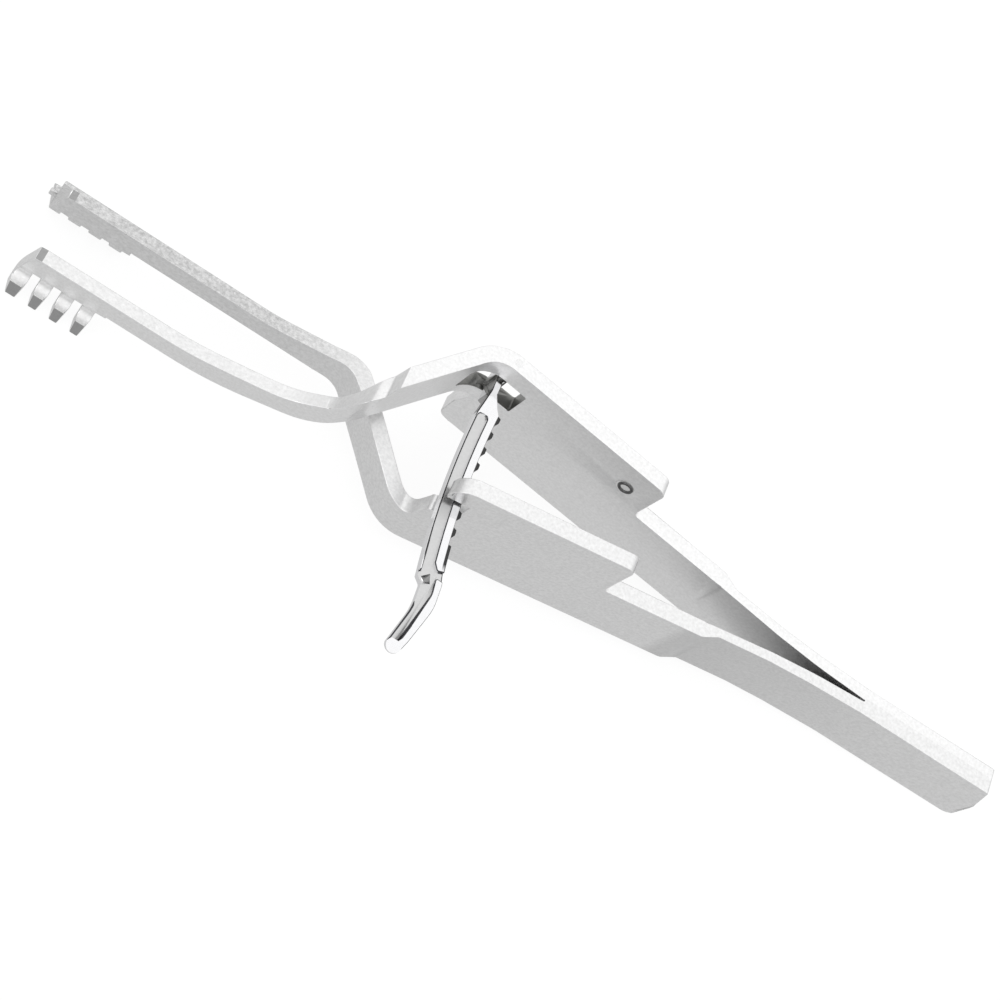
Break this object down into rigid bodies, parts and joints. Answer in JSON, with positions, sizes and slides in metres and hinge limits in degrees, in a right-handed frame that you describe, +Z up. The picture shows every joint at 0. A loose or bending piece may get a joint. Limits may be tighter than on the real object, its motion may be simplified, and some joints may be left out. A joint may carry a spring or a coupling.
{
  "type": "cross action retractor",
  "caption": "Self-retaining cross action retractor: two spring arms welded at the handle, crossing ahead of thumb plates, outward hooked prongs, toothed ratchet bar.",
  "frame": {"origin": "middle of the welded handle end, on its lower face and on the plane between the two arms", "axes": "+X towards the handle end, so the prongs lie at -X; +Y towards the plate that carries the ratchet bar's pivot; +Z up, away from the face the handle rests on"},
  "size_m": [0.1441, 0.0416, 0.0223],
  "materials": {
    "arm_steel": "satin stainless steel, fine matt blasting",
    "weld_steel": "ground flush weld, satin",
    "bar_steel": "polished stainless steel with soft edges",
    "spring_steel": "spring steel strip, satin",
    "pin_steel": "satin stainless steel, ground flush"
  },
  "bodies": {
    "butt": {"far_leaf": "arm_steel", "near_leaf": "arm_steel", "butt_weld": "weld_steel"},
    "far_arm": {"far_arm": "arm_steel", "ratchet_pin": "pin_steel", "ratchet_spring": "spring_steel", "spring_rivet": "pin_steel"},
    "near_arm": {"near_arm": "arm_steel"},
    "ratchet_bar": {"ratchet_bar": "bar_steel"}
  },
  "joints": [
    {"name": "far_flex", "type": "hinge", "parent": "butt", "child": "far_arm", "pos_m": [-0.023, 0.00162, 0.00525], "axis": [0, 0, 1], "range_deg": [-1.8, 6], "stiffness_Nm_per_rad": 1.5},
    {"name": "near_flex", "type": "hinge", "parent": "butt", "child": "near_arm", "pos_m": [-0.023, -0.00162, 0.00525], "axis": [0, 0, 1], "range_deg": [-6, 1.8], "stiffness_Nm_per_rad": 1.5},
    {"name": "bar_pivot", "type": "hinge", "parent": "far_arm", "child": "ratchet_bar", "pos_m": [-0.0744, 0.00896, 0.01295], "axis": [0, 0, 1], "range_deg": [-10, 0], "stiffness_Nm_per_rad": 0.004, "springref_deg": 20.05}
  ],
  "couplings": [
    {"joint": "near_flex", "follows": "far_flex", "ratio": -1}
  ]
}
